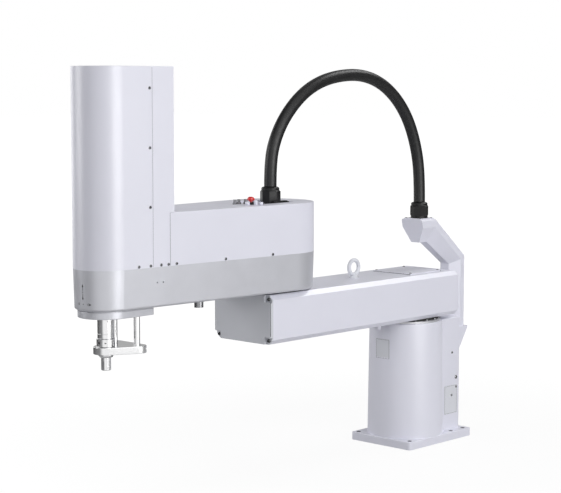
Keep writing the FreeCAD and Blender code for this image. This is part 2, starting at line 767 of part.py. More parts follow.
sk = sketch(cover, "XY", rise - skin - 1)
side = inset_half(tower_rear.value, 0) - skin.value - 0.3
rectangle(sk, arm_length - tower_rear - 0.4, -side, arm_length - cover_start + 1, side)
pocket(cover, sk, 10)
sk = sketch(cover, "XY", rise - skin - tray_depth - 1)
circle(sk, 0, 0, 22)
pocket(cover, sk, 10)
sk = sketch(cover, "XY", rise - skin - 1)
circle(sk, button_x, button_y, 6)
pocket(cover, sk, 10)

# Tower: front cover with the round nose, rear cover and top cap
tower_z = arm2_z + arm2_height
tower_rise = tower_top - skin - tower_z
front = body("tower_front_cover", arm_length, 0, tower_z)
sk = sketch(front, "XY")
arm2_outline(sk)
pad(front, sk, tower_rise)
sk = sketch(front, "XY")
arm2_outline(sk, skin)
pocket(front, sk, tower_rise)
sk = sketch(front, "XY")
rectangle(sk, -130, -130, arm_length - tower_seam, 130)
pocket(front, sk, tower_rise)
rear = body("tower_rear_cover", arm_length, 0, tower_z)
sk = sketch(rear, "XY")
arm2_outline(sk)
pad(rear, sk, tower_rise)
sk = sketch(rear, "XY")
rectangle(sk, -130, -130, arm_length - tower_rear, 130)
rectangle(sk, arm_length - tower_seam - 0.5, -130, arm_length + 90, 130)
pocket(rear, sk, tower_rise)
inner_side = inset_half(tower_seam.value, 0) - skin.value - 1.5
sk = sketch(rear, "XY")
rectangle(sk, arm_length - tower_rear + skin, -inner_side, arm_length - tower_seam + 2, inner_side)
pocket(rear, sk, tower_rise)
sk = sketch(rear, "XY")
outer_side = inset_half(tower_rear.value, 0) - skin.value - 1.2
rectangle(sk, arm_length - tower_rear - 1, outer_side, arm_length - cover_start + 0.4, 130)
rectangle(sk, arm_length - tower_rear - 1, -130, arm_length - cover_start + 0.4, -outer_side)
pocket(rear, sk, rise + 0.4)
lid = body("tower_cap", arm_length, 0, tower_top - skin)
sk = sketch(lid, "XY")
arm2_outline(sk)
pad(lid, sk, skin)
sk = sketch(lid, "XY")
rectangle(sk, -130, -130, arm_length - tower_rear, 130)
pocket(lid, sk, skin)
soften(lid, 1.2, lambda p: near(p.z, skin.value))

# Screws of the covers, seated on the leaning sides of the arm
lean = math.asin((elbow_radius.value - nose_radius.value) / arm_length.value)
heads = []
seam_screws = tower_seam.value - 8
upper, lower = tower_top.value - 54, arm2_top.value + 16
hem = tower_z.value + 4.5
spots = [(seam_screws, upper), (seam_screws, (upper + lower) / 2), (seam_screws, lower)]
spots += [(behind, hem) for behind in (40, seam_screws, 110.5, cover_start.value - 6, cover_start.value + 20.5,
                                       325, 491)]
for side in (1, -1):
    for behind, z in spots:
        at = Vector(arm_length.value - behind, side * inset_half(behind, 0.0), z - arm2_z.value)
        heads.append(button_head(at, Vector(math.sin(lean), side * math.cos(lean), 0), 4, 2.2))
feature("cover_screws", Part.makeCompound(heads), arm_length, 0, arm2_z)

# Flange under the nose that carries the shaft and rod seals
flange = body("bottom_flange", arm_length * 2, 0, arm2_z - flange_thick)
sk = sketch(flange, "XY")
hull(sk, [(flange_corner - flange_rear, flange_corner - flange_radius, flange_corner),
          (0, 0, flange_radius),
          (flange_corner - flange_rear, flange_radius - flange_corner, flange_corner)])
pad(flange, sk, flange_thick - flange_groove)
soften(flange, 1.5, lambda p: near(p.z, 0))
sk = sketch(flange, "XY", flange_thick - flange_groove)
hull(sk, [(flange_corner - flange_rear, flange_corner - flange_radius, flange_corner - flange_groove),
          (0, 0, flange_radius - flange_groove),
          (flange_corner - flange_rear, flange_radius - flange_corner, flange_corner - flange_groove)])
pad(flange, sk, flange_groove)
sk = sketch(flange, "XY")
circle(sk, 0, 0, quill_radius + slide_gap)
for y in (rod_half, -rod_half):
    circle(sk, -rod_back, y, rod_radius + slide_gap)
pocket(flange, sk, flange_thick)
bush = body("rod_bushings", arm_length * 2, 0, arm2_z + arm2_floor)
sk = sketch(bush, "XY")
for y in (rod_half, -rod_half):
    circle(sk, -rod_back, y, 13)
    circle(sk, -rod_back, y, rod_radius + slide_gap)
pad(bush, sk, 40)

# Elbow drive
hub = body("joint2_hub", arm_length, 0, arm1_z + arm1_height - 49)
sk = sketch(hub, "XY")
circle(sk, 0, 0, 56)
circle(sk, 0, 0, 24)
pad(hub, sk, arm2_z - arm1_z - arm1_height + 49)
motor = body("joint2_motor", arm_length, 0, arm2_z + arm2_floor)
sk = sketch(motor, "XY")
circle(sk, 0, 0, 52)
circle(sk, 0, 0, 24)
pad(motor, sk, 120)

# Lift and spin drives: two motors, and the housings of the ball nut and spline nut round the shaft
motor = body("lift_motor", arm_length * 2 - 250, 0, arm2_z + arm2_floor)
sk = sketch(motor, "XY")
rounded(sk, -45, -45, 45, 45, 8)
pad(motor, sk, 200)
motor = body("spin_motor", arm_length * 2 - 360, 0, arm2_z + arm2_floor)
sk = sketch(motor, "XY")
rounded(sk, -40, -40, 40, 40, 8)
pad(motor, sk, 180)
nut = body("spin_nut_housing", arm_length * 2, 0, arm2_z + arm2_floor)
sk = sketch(nut, "XZ")
inner = quill_radius + slide_gap
polygon(sk, [(inner, 0), (36, 0), (36, 22), (50, 22), (50, 42), (36, 42), (36, 54), (inner, 54)])
revolve(nut, sk)
nut = body("lift_nut_housing", arm_length * 2, 0, arm2_z + arm2_floor + 54)
sk = sketch(nut, "XZ")
polygon(sk, [(inner, 0), (38, 0), (38, 18), (54, 18), (54, 40), (38, 40), (38, 60), (inner, 60)])
revolve(nut, sk)
frame = body("tower_frame", arm_length * 2, 0, arm2_z + arm2_floor)
sk = sketch(frame, "XY")
polygon(sk, [(-136, -66), (-124, -66), (-124, 66), (-136, 66)])
pad(frame, sk, tower_top - skin - arm2_z - arm2_floor - 31)

# Fittings on the second arm
gland("arm2_gland", arm_length, arm2_top - tray_depth, 39)
bezel = body("button_bezel", arm_length + button_x, button_y, arm2_top)
sk = sketch(bezel, "XY")
circle(sk, 0, 0, 8)
circle(sk, 0, 0, 5.2)
pad(bezel, sk, 7)
button = body("brake_button", arm_length + button_x, button_y, arm2_top)
sk = sketch(button, "XZ")
polygon(sk, [(0, 3), (4.6, 3), (4.6, 11), (9, 11), (10.2, 14), (9, 18), (5.5, 21), (0, 21.5)])
revolve(button, sk)
fittings = body("arm_air_fittings", arm_length, 0, arm2_top)
sk = sketch(fittings, "XY")
for x, y in ((152, 13), (134, 10), (120, 22)):
    circle(sk, x, y, 6)
pad(fittings, sk, 5)
sk = sketch(fittings, "XY", 5)
for x, y in ((152, 13), (134, 10), (120, 22)):
    circle(sk, x, y, 4.5)
pad(fittings, sk, 8)
plug = body("arm_connector", arm_length, 0, arm2_top - tray_depth)
sk = sketch(plug, "XY")
rounded(sk, -20, 34, 24, 54, 3)
pad(plug, sk, 10)
sk = sketch(plug, "XY", 10)
rounded(sk, -16, 37, 20, 51, 2)
pad(plug, sk, 2)
pins = body("joint2_stop_pins", arm_length, 0, arm2_z)
sk = sketch(pins, "XY")
circle(sk, 350, 78, 12)
circle(sk, 350, -78, 12)
pad(pins, sk, 15, backwards=True)

# Carriage that travels with the shaft: guide plate, two rods and the bearing
guide = body("guide_plate", arm_length * 2, 0, guide_bottom)
sk = sketch(guide, "XY")
hull(sk, [(-rod_back, -rod_half, guide_ear), (0, 0, guide_nose), (-rod_back, rod_half, guide_ear)])
pad(guide, sk, guide_thick)
soften(guide, 1.0, lambda p: near(p.z, 0) or near(p.z, guide_thick.value))
sk = sketch(guide, "XY")
circle(sk, 0, 0, bearing_radius)
pocket(guide, sk, guide_thick)
sk = sketch(guide, "XZ", -rod_half - 30)
rectangle(sk, -rod_back - 30, guide_thick / 2 - 2, -rod_back - 9, guide_thick / 2 + 2)
pocket(guide, sk, rod_half * 2 + 60)
rods = body("guide_rods", arm_length * 2, 0, guide_bottom + guide_thick)
sk = sketch(rods, "XY")
for y in (rod_half, -rod_half):
    circle(sk, -rod_back, y, rod_radius)
pad(rods, sk, tower_top - rod_headroom - guide_bottom - guide_thick)
bearing = body("guide_bearing", arm_length * 2, 0, guide_bottom)
sk = sketch(bearing, "XY")
circle(sk, 0, 0, bearing_radius)
circle(sk, 0, 0, shaft_radius + 0.3)
pad(bearing, sk, guide_thick)

# Turning shaft: screw spline with a tool end, and its two clamp collars
shaft = body("spline_shaft", arm_length * 2)
sk = sketch(shaft, "XZ")
shaft_top = tower_top - shaft_headroom
relief = shaft_end + 1.5 + clamp_length
polygon(sk, [(shaft_bore, shaft_end), (shaft_radius - 1.5, shaft_end), (shaft_radius, shaft_end + 1.5),
             (shaft_radius, relief), (shaft_radius - 0.5, relief), (shaft_radius - 0.5, relief + 0.8),
             (shaft_radius, relief + 0.8), (shaft_radius, quill_bottom), (quill_radius - 1, quill_bottom),
             (quill_radius, quill_bottom + 1), (quill_radius, quill_bottom + 11),
             (quill_radius - 0.6, quill_bottom + 11.6), (quill_radius - 0.6, quill_bottom + 12.4),
             (quill_radius, quill_bottom + 13), (quill_radius, shaft_top), (shaft_bore, shaft_top)])
revolve(shaft, sk)
sk = sketch(shaft, "XY", shaft_end)
rectangle(sk, shaft_radius - 1.5, -15, shaft_radius + 5, 15)
pocket(shaft, sk, 24)
collar = body("upper_collar", arm_length * 2, 0, guide_bottom + guide_thick)
sk = sketch(collar, "XZ")
top = quill_bottom - guide_bottom - guide_thick
polygon(sk, [(shaft_radius, 0.5), (collar_radius - 1, 0.5), (collar_radius, 1.5), (collar_radius, top - 1),
             (collar_radius - 1, top), (shaft_radius, top)])
revolve(collar, sk)
collar = body("lower_collar", arm_length * 2, 0, guide_bottom)
sk = sketch(collar, "XZ")
polygon(sk, [(shaft_radius, -lower_collar_height), (shaft_radius + 3, -lower_collar_height),
             (lower_collar_radius, -4), (lower_collar_radius, -0.5), (shaft_radius, -0.5)])
revolve(collar, sk)
heads = []
for radius, z, angles in ((collar_radius.value, quill_bottom.value - 10, (3, 183)),
                          (lower_collar_radius.value, guide_bottom.value - 2.4, (102, 282))):
    for angle in angles:
        out = Vector(math.cos(math.radians(angle)), math.sin(math.radians(angle)), 0)
        small = 3.2 if radius > 20 else 1.5
        heads.append(button_head(out * radius + Vector(0, 0, z), out, small, 1.2))
feature("collar_screws", Part.makeCompound(heads), arm_length * 2)


def conduit_path(points):
    """Straight runs joined by tangent arcs, each arc as large as its two runs allow."""
    edges = []
    start = points[0]
    radii = []
    for i in range(1, len(points) - 1):
        before, after = points[i - 1] - points[i], points[i + 1] - points[i]
        turn = math.pi - before.getAngle(after)
        trim = 0.45 * min(before.Length, after.Length)
        radii.append(trim / math.tan(turn / 2))
        a = points[i] + before * (trim / before.Length)
        b = points[i] + after * (trim / after.Length)
        half = (before.normalize() + after.normalize()).normalize()
        centre = points[i] + half * math.hypot(radii[-1], trim)
        middle = centre - half * radii[-1]
        edges.append(Part.LineSegment(start, a).toShape())
        edges.append(Part.Arc(a, middle, b).toShape())
        start = b
    edges.append(Part.LineSegment(start, points[-1]).toShape())
    return Part.Wire(edges), radii


# Conduit from the gland on the second arm over to the gland on the duct
CONDUIT = [(600, 805), (600, 875), (580, 940), (538, 1002), (474, 1058), (400, 1094), (316, 1112),
           (222, 1116), (134, 1096), (58, 1051), (-2, 986), (-42, 902), (-61, 812), (-61, 728)]
route = [Vector(x, 0, z) for x, z in CONDUIT]
arm_mouth = Vector(arm_length.value, 0, (arm2_top - tray_depth + gland_height).value)
duct_mouth = Vector(-base_gland_x.value, 0, (duct_top + lid_thick + gland_height).value)
route[0], route[1] = arm_mouth, arm_mouth + Vector(0, 0, 2 * hose_dia.value)
route[-1], route[-2] = duct_mouth, duct_mouth + Vector(0, 0, 2.4 * hose_dia.value)
path, radii = conduit_path(route)
print("conduit radii", [round(r) for r in radii], "length", round(path.Length, 1))
section = Part.Wire([Part.makeCircle(hose_dia.value / 2, route[0], Vector(0, 0, 1))])
tube = path.makePipeShell([section], True, False)
expected = math.pi * (hose_dia.value / 2) ** 2 * path.Length
print("conduit volume share", round(tube.Volume / expected, 4))
if abs(tube.Volume / expected - 1) > 0.01:
    raise RuntimeError("the conduit's tube is wrong")
feature("conduit", tube)

# Check every object and write each piece
doc.recompute()
for made in doc.Objects:
    if "Invalid" in made.State or "Error" in made.State:
        raise RuntimeError(made.Name + " failed: " + ", ".join(made.State))
os.makedirs("parts", exist_ok=True)
for piece in pieces:
    if piece.Shape.isNull() or not piece.Shape.isValid():
        raise RuntimeError(piece.Label + " has no valid shape")
for piece in pieces:
    piece.Shape.exportStep("parts/" + piece.Label + ".step")
print(len(pieces), "pieces written")
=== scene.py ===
import json
import math

import bpy
import bmesh
from mathutils import Matrix, Vector


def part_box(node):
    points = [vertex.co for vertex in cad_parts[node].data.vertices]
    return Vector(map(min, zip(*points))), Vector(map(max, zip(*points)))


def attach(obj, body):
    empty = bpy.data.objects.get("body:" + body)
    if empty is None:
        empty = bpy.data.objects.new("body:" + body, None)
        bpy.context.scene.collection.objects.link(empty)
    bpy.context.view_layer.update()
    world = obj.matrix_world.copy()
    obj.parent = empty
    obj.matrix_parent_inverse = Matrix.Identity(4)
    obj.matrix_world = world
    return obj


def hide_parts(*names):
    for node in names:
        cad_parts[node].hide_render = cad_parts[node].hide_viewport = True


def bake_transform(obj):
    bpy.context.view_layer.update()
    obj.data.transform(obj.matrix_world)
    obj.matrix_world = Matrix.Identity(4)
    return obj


# Four-axis horizontal arm robot: finishes, conduit, fittings, camera and light round the packed
# model. Lengths are in metres, in the same frame as the solids.

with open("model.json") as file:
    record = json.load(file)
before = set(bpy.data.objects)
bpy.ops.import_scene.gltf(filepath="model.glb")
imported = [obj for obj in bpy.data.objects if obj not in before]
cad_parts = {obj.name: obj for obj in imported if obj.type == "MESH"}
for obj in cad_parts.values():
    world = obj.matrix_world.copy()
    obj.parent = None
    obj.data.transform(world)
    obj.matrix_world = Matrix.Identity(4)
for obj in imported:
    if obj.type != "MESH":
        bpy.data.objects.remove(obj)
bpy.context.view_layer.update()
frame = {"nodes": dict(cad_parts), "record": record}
nodes = frame["nodes"]

ARM = 0.6  # length of each arm, and so the place of the second joint
TOOL = 1.2  # place of the tool axis
CASTING_TOP = 0.629  # the second arm's casting ends here and its covers begin
ARM2_TOP = 0.765
CONDUIT_DIAMETER = 0.035

# The second arm in plan: two round ends with straight sides that lean towards the tool
ELBOW_RADIUS = 0.1207
NOSE_RADIUS = 0.0803
LEAN = math.asin((ELBOW_RADIUS - NOSE_RADIUS) / ARM)
DRAFT = math.tan(math.radians(1.6))  # the casting narrows downwards


# Node helpers

NOISE_LOW, NOISE_HIGH = 0.3, 0.7  # nearly all of a noise lies between these
GLOSS_SCALE = 0.08  # scale of the uneven gloss against that of the grain


def new_material(name):
    made = bpy.data.materials.new(name)
    made.use_nodes = True
    tree = made.node_tree
    return made, tree.nodes, tree.links, tree.nodes["Principled BSDF"]


def noise(tree_nodes, links, scale, detail, stretch=None):
    """Noise over the object's own metres, stretched along an axis where the surface is brushed."""
    where = tree_nodes.new("ShaderNodeTexCoord")
    made = tree_nodes.new("ShaderNodeTexNoise")
    made.inputs["Scale"].default_value = scale
    made.inputs["Detail"].default_value = detail
    if stretch is None:
        links.new(where.outputs["Object"], made.inputs["Vector"])
    else:
        mapping = tree_nodes.new("ShaderNodeMapping")
        mapping.inputs["Scale"].default_value = stretch
        links.new(where.outputs["Object"], mapping.inputs["Vector"])
        links.new(mapping.outputs["Vector"], made.inputs["Vector"])
    return made.outputs["Fac"]


def ramp(tree_nodes, links, source, stops):
    made = tree_nodes.new("ShaderNodeValToRGB")
    elements = made.color_ramp.elements
    while len(elements) < len(stops):
        elements.new(0.5)
    for element, (place, colour) in zip(elements, stops):
        element.position = place
        element.color = (*colour, 1.0)
    links.new(source, made.inputs["Fac"])
    return made.outputs["Color"]


def spread(tree_nodes, links, source, from_low, from_high, low, high):
    """Maps one range of values to another."""
    made = tree_nodes.new("ShaderNodeMapRange")
    made.inputs["From Min"].default_value = from_low
    made.inputs["From Max"].default_value = from_high
    made.inputs["To Min"].default_value = low
    made.inputs["To Max"].default_value = high
    links.new(source, made.inputs["Value"])
    return made.outputs["Result"]


def relief(tree_nodes, links, source, strength, distance):
    made = tree_nodes.new("ShaderNodeBump")
    made.inputs["Strength"].default_value = strength
    made.inputs["Distance"].default_value = distance
    links.new(source, made.inputs["Height"])
    return made.outputs["Normal"]


def finish_surface(name, colour, rough, metal=0.0, mottle=0.03, mottle_scale=6.0,
                   grain_scale=900.0, grain=0.12, grain_depth=0.0002, rough_spread=0.05,
                   stretch=None, coat=0.0, specular=0.5, ior=1.5):
    """A finish with slight colour drift, uneven gloss and a fine surface grain."""
    made, tree_nodes, links, shader = new_material(name)
    drift = noise(tree_nodes, links, mottle_scale, 4.0)
    darker = tuple(c * (1 - mottle) for c in colour)
    lighter = tuple(min(1.0, c * (1 + mottle)) for c in colour)
    base = ramp(tree_nodes, links, drift, [(NOISE_LOW, darker), (NOISE_HIGH, lighter)])
    links.new(base, shader.inputs["Base Color"])
    gloss = noise(tree_nodes, links, grain_scale * GLOSS_SCALE, 3.0, stretch)
    uneven = spread(tree_nodes, links, gloss, NOISE_LOW, NOISE_HIGH,
                    rough - rough_spread, rough + rough_spread)
    links.new(uneven, shader.inputs["Roughness"])
    fine = noise(tree_nodes, links, grain_scale, 2.0, stretch)
    links.new(relief(tree_nodes, links, fine, grain, grain_depth), shader.inputs["Normal"])
    shader.inputs["Metallic"].default_value = metal
    shader.inputs["Specular IOR Level"].default_value = specular
    shader.inputs["IOR"].default_value = ior
    shader.inputs["Coat Weight"].default_value = coat
    shader.inputs["Coat Roughness"].default_value = 0.15
    return made


UPRIGHT = (0.4, 0.4, 6.0)  # turned steel: the grain runs round the upright pieces
FLAT = (4.0, 0.4, 0.4)  # rolled plate
FINISHES = {
    "white_paint": dict(colour=(0.715, 0.715, 0.795), rough=0.37, mottle=0.012, grain=0.08,
                        specular=0.9, ior=1.6),
    "grey_paint": dict(colour=(0.60, 0.61, 0.65), rough=0.45, mottle=0.02, grain=0.12),
    "cast_silver": dict(colour=(0.595, 0.60, 0.64), rough=0.38, metal=0.45, mottle=0.03,
                        mottle_scale=14.0, grain_scale=1400.0, grain=0.08),
    "black_plastic": dict(colour=(0.009, 0.009, 0.0095), rough=0.38, mottle=0.15, grain=0.03,
                          specular=0.3),
    "conduit_black": dict(colour=(0.010, 0.010, 0.0104), rough=0.40, mottle=0.10,
                          mottle_scale=20.0, grain=0.0, specular=0.4),
    "seal_rubber": dict(colour=(0.02, 0.02, 0.02), rough=0.7, mottle=0.1),
    "screw_steel": dict(colour=(0.27, 0.27, 0.28), rough=0.16, metal=0.9, mottle=0.05, grain=0.05),
    "bright_steel": dict(colour=(0.80, 0.80, 0.805), rough=0.19, metal=1.0, mottle=0.02,
                         grain_scale=500.0, grain=0.04, rough_spread=0.03, stretch=UPRIGHT),
    "machined_steel": dict(colour=(0.56, 0.56, 0.58), rough=0.42, metal=0.5, mottle=0.05,
                           stretch=UPRIGHT),
    "plate_steel": dict(colour=(0.40, 0.40, 0.42), rough=0.4, metal=1.0, mottle=0.06,
                        stretch=FLAT),
    "motor_black": dict(colour=(0.03, 0.03, 0.032), rough=0.45, mottle=0.1),
    "black_steel": dict(colour=(0.07, 0.07, 0.073), rough=0.32, metal=0.6, mottle=0.1, grain=0.1),
    "red_plastic": dict(colour=(0.62, 0.012, 0.012), rough=0.25, mottle=0.04, grain=0.03,
                        coat=0.3),
    "eye_paint": dict(colour=(0.66, 0.67, 0.71), rough=0.35, mottle=0.03, grain=0.1),
}
finishes = {name: finish_surface(name, **values) for name, values in FINISHES.items()}

slots = {part["node"]: part["material_slot"] for part in frame["record"]["subparts"]}
for name, obj in nodes.items():
    obj.data.materials.clear()
    obj.data.materials.append(finishes[slots[name]])


# Mesh helpers


def linked(name, data):
    """A new object for the data, in the scene."""
    made = bpy.data.objects.new(name, data)
    bpy.context.scene.collection.objects.link(made)
    return made


def dressed(name, data, slot):
    """A new object for the mesh, with one finish."""
    made = linked(name, data)
    data.materials.append(finishes[slot])
    return made


def mesh_object(name, verts, faces, slot, smooth=False):
    data = bpy.data.meshes.new(name)
    data.from_pydata([tuple(v) for v in verts], [], faces)
    data.validate()
    if smooth:
        data.shade_smooth()
    return dressed(name, data, slot)


def bmesh_piece(name, mesh, slot, body, smooth=False):
    """Turns a bmesh into a piece that rides a body, and frees it."""
    data = bpy.data.meshes.new(name)
    mesh.to_mesh(data)
    mesh.free()
    if smooth:
        data.shade_smooth()
    made = dressed(name, data, slot)
    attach(made, body)


# Conduit: one smooth spline from the gland on the second arm to the duct's gland

ROUTE = [(0.600, 0.805), (0.600, 0.875), (0.580, 0.940), (0.538, 1.002), (0.474, 1.058),
         (0.400, 1.094), (0.316, 1.112), (0.222, 1.116), (0.134, 1.096), (0.058, 1.051),
         (-0.002, 0.986), (-0.042, 0.902), (-0.061, 0.812), (-0.061, 0.728)]
ROUTE_STEPS = 48
CONDUIT_SIDES = 40
RIB = 0.00006  # every second ring is slimmer by this, which breaks up the gloss a little


def spline_points(points, resolution):
    """Points along the NURBS spline whose control points are the route."""
    curve = bpy.data.curves.new("conduit_line", "CURVE")
    curve.dimensions = "3D"
    spline = curve.splines.new("NURBS")
    spline.points.add(len(points) - 1)
    for point, (x, z) in zip(spline.points, points):
        point.co = (x, 0.0, z, 1.0)
    spline.order_u = 3
    spline.use_endpoint_u = True
    spline.resolution_u = resolution
    holder = linked("conduit_line", curve)
    bpy.context.view_layer.update()
    line = bpy.data.meshes.new_from_object(holder)
    found = [v.co.copy() for v in line.vertices]
    bpy.data.objects.remove(holder)
    bpy.data.curves.remove(curve)
    bpy.data.meshes.remove(line)
    return found


def tube(name, line, radius_at, sides, slot):
    """A closed tube round a line that lies in the plane y = 0."""
    verts = []
    faces = []
    side = Vector((0, 1, 0))
    for i, point in enumerate(line):
        ahead = line[min(i + 1, len(line) - 1)] - line[max(i - 1, 0)]
        ahead.normalize()
        up = ahead.cross(side).normalized()
        radius = radius_at(i)
        for k in range(sides):
            angle = 2 * math.pi * k / sides
            verts.append(point + (side * math.cos(angle) + up * math.sin(angle)) * radius)
    count = len(line)
    for i in range(count - 1):
        for k in range(sides):
            a, b = i * sides + k, i * sides + (k + 1) % sides
            faces.append((a, a + sides, b + sides, b))
    faces.append(tuple(range(sides)))
    faces.append(tuple(reversed(range((count - 1) * sides, count * sides))))
    return mesh_object(name, verts, faces, slot, smooth=True)


line = spline_points(ROUTE, ROUTE_STEPS)
conduit = tube("conduit_tube", line, lambda i: CONDUIT_DIAMETER / 2 - (RIB if i % 2 else 0.0),
               CONDUIT_SIDES, "conduit_black")
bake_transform(conduit)
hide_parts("conduit")


# Places on surfaces, each a function of (u, v, off): along the surface, up, and off it


def on_drum(x, y, azimuth, radius, z, draft=0.0):
    """A place on a drum, with u along its girth; the drum narrows downwards by the draft."""
    def place(u, v, off):
        here = radius + draft * v
        angle = azimuth + u / here
        return Vector((x + (here + off) * math.cos(angle), y + (here + off) * math.sin(angle),
                       z + v))
    return place


def on_nose(azimuth, z):
    """A place on the round end of the second arm's casting."""
    return on_drum(TOOL, 0, math.radians(azimuth), NOSE_RADIUS - DRAFT * (CASTING_TOP - z), z,
                   DRAFT)


def on_shaft(azimuth, radius, z):
    """A place on the tool shaft or one of its collars."""
    return on_drum(TOOL, 0, math.radians(azimuth), radius, z)


def on_side(x, y, z, out=1):
    """A place on a wall that faces +Y, or -Y where out is -1; u runs right as one faces it."""
    return lambda u, v, off: Vector((x - out * u, y + out * off, z + v))


def arm2_side(behind):
    """Half width of the second arm at a distance behind the tool axis."""
    return NOSE_RADIUS / math.cos(LEAN) + behind * math.tan(LEAN)


# Plates and marks

MARK_OFF, SOCKET_OFF, BORDER_OFF = 0.0002, 0.0003, 0.0006  # how far each kind stands off
STROKE_PIECE = 0.004  # longest piece of a stroke


def rounded_plate(name, place, wide, tall, corner, thick, slot, body):
    """A thin plate with rounded corners that follows the surface it lies on."""
    across = [-wide / 2 + corner * (1 - math.cos(math.radians(a))) for a in range(0, 91, 15)]
    across += [-wide / 2 + corner + (wide - 2 * corner) * k / 12 for k in range(1, 12)]
    across += [-u for u in reversed(across[:7])]
    verts = []
    faces = []
    for u in across:
        over = max(0.0, abs(u) - (wide / 2 - corner))
        half = tall / 2 - corner + math.sqrt(max(0.0, corner * corner - over * over))
        for v, off in ((-half, 0.0), (-half, thick), (half, thick), (half, 0.0)):
            verts.append(place(u, v, off))
    for i in range(len(across) - 1):
        a, b = 4 * i, 4 * i + 4
        for k in range(3):
            faces.append((a + k, b + k, b + k + 1, a + k + 1))
        faces.append((a + 3, b + 3, b, a))
    made = mesh_object(name, verts, faces, slot)
    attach(made, body)


def marks(name, place, strokes, slot, body, off=MARK_OFF):
    """Fine printed strokes: each one a list of outline points (u, v) filled as one face."""
    verts = []
    faces = []
    for stroke in strokes:
        first = len(verts)
        verts += [place(u, v, off) for u, v in stroke]
        faces.append(tuple(range(first, first + len(stroke))))
    made = mesh_object(name, verts, faces, slot)
    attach(made, body)


def bar(u0, v0, u1, v1, wide):
    """A straight stroke cut into short pieces, so that it follows a drum."""
    length = math.hypot(u1 - u0, v1 - v0)
    side = ((v0 - v1) / length * wide / 2, (u1 - u0) / length * wide / 2)
    pieces = max(1, int(length / STROKE_PIECE))
    found = []
    for k in range(pieces):
        a, b = k / pieces, (k + 1) / pieces
        pa = (u0 + (u1 - u0) * a, v0 + (v1 - v0) * a)
        pb = (u0 + (u1 - u0) * b, v0 + (v1 - v0) * b)
        found.append([(pa[0] - side[0], pa[1] - side[1]), (pb[0] - side[0], pb[1] - side[1]),
                      (pb[0] + side[0], pb[1] + side[1]), (pa[0] + side[0], pa[1] + side[1])])
    return found


def on_circle(u, v, radius, degrees):
    angle = math.radians(degrees)
    return u + radius * math.cos(angle), v + radius * math.sin(angle)


def ring(u, v, radius, wide):
    return [[on_circle(u, v, r, angle) for angle, r in
             ((a, radius), (a + 15, radius), (a + 15, radius - wide), (a, radius - wide))]
            for a in range(0, 360, 15)]


def dot(u, v, radius):
    return [[on_circle(u, v, radius, a) for a in range(0, 360, 30)]]


# Direction marks of the lift and the spin on the nose, and the index on the upper collar
strokes = bar(0, -0.0195, 0, -0.004, 0.0010) + bar(0, 0.004, 0, 0.0195, 0.0010)
strokes += [[(-0.0026, 0.0135), (0, 0.0205), (0.0026, 0.0135)],
            [(-0.0026, -0.0135), (0.0026, -0.0135), (0, -0.0205)]]
strokes += dot(0, 0, 0.0012)
marks("lift_marks", on_nose(4.5, 0.5745), strokes, "black_plastic", "arm2")
strokes = ring(-0.0165, 0, 0.0026, 0.0009) + dot(0, 0, 0.0012) + ring(0.0165, 0, 0.0030, 0.0009)
strokes += [[(0.0195, 0.0026), (0.0235, 0), (0.0195, -0.0026)]]
marks("spin_marks", on_nose(5.5, 0.5445), strokes, "black_plastic", "arm2")
COLLAR_RADIUS, COLLAR_Z = 0.0235, 0.4403
strokes = [[(-0.0030, 0.0022), (0.0032, 0), (-0.0030, -0.0022), (-0.0018, 0)]]
marks("collar_index", on_shaft(48, COLLAR_RADIUS, COLLAR_Z), strokes, "black_plastic", "tool_shaft")

# Small dark dots on the shaft and its collars; the collar's socket dot is painted shade, a flat
# black disc where the screw socket's hollow holds shade
DOTS = (("shaft_dimple", on_shaft(63.7, 0.021, 0.4955), 0.0013, MARK_OFF),
        ("collar_socket", on_shaft(3, COLLAR_RADIUS, COLLAR_Z), 0.0034, SOCKET_OFF),
        ("lower_socket", on_shaft(104, 0.0195, 0.4062), 0.0026, SOCKET_OFF))
for name, place, radius, off in DOTS:
    marks(name, place, dot(0, 0, radius), "black_plastic", "tool_shaft", off)

# Fine dark joint lines, upright on both sides: name, x, half width, middle height, half length,
# line width and body
SEAMS = (("cap_seam", 0.7104, 0.1066, 0.4550, 0.047, 0.0017, "arm1"),
         ("tower_seam", 1.11475, arm2_side(TOOL - 1.11475), 0.8795, 0.2493, 0.0006, "arm2"),
         ("cover_seam", 1.0601, arm2_side(TOOL - 1.0601), 0.6970, 0.0675, 0.0009, "arm2"))
for side, out in (("left", 1), ("right", -1)):
    for name, x, half, z, reach, wide, body in SEAMS:
        marks(name + "_" + side, on_side(x, out * half, z, out), bar(0, -reach, 0, reach, wide),
              "motor_black", body)

# Blank plates with a fine border line, on the column and on the housing's side
PLATES = (("column", on_drum(0, 0, 0.0, 0.1121, 0.2935, 0.0122), 0.053, 0.061),
          ("housing", on_side(-0.121, 0.082, 0.1165), 0.064, 0.089))
PLATE_CORNER = 0.003
PLATE_THICK = 0.0005
BORDER_IN = 0.002
BORDER_LINE = 0.0006
for name, place, wide, tall in PLATES:
    rounded_plate(name + "_plate", place, wide, tall, PLATE_CORNER, PLATE_THICK, "eye_paint",
                  "base")
for name, place, wide, tall in PLATES:
    corners = [(-1, -1), (1, -1), (1, 1), (-1, 1), (-1, -1)]
    corners = [(u * (wide / 2 - BORDER_IN), v * (tall / 2 - BORDER_IN)) for u, v in corners]
    strokes = []
    for a, b in zip(corners, corners[1:]):
        strokes += bar(*a, *b, BORDER_LINE)
    marks(name + "_border", place, strokes, "motor_black", "base", off=BORDER_OFF)


# Small fittings


